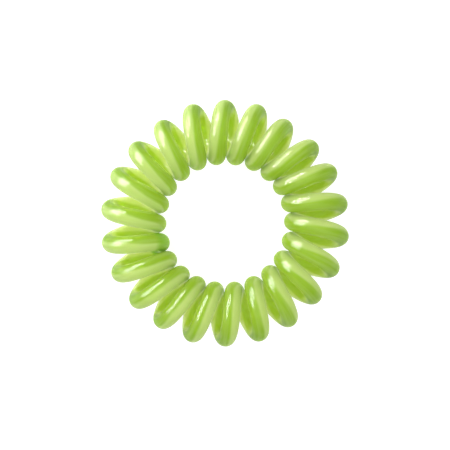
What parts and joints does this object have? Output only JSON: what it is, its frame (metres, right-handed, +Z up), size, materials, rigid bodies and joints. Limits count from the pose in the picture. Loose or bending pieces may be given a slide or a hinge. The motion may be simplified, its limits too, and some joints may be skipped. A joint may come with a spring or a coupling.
{
  "type": "spiral hair tie",
  "caption": "Springy plastic wire wound as a coil whose ends join, so that the coil closes into a ring that stretches round a ponytail.",
  "frame": {"origin": "on the surface that the ring lies on, at the middle of its opening", "axes": "+Z up along the ring's axis and towards the picture's camera, +Y towards the picture's top, +X to its right"},
  "size_m": [0.0396, 0.0395, 0.0106],
  "materials": {
    "spiral_coil": "glossy, slightly translucent lime green"
  },
  "bodies": {
    "root": {"spiral_coil": "spiral_coil"}
  },
  "joints": []
}
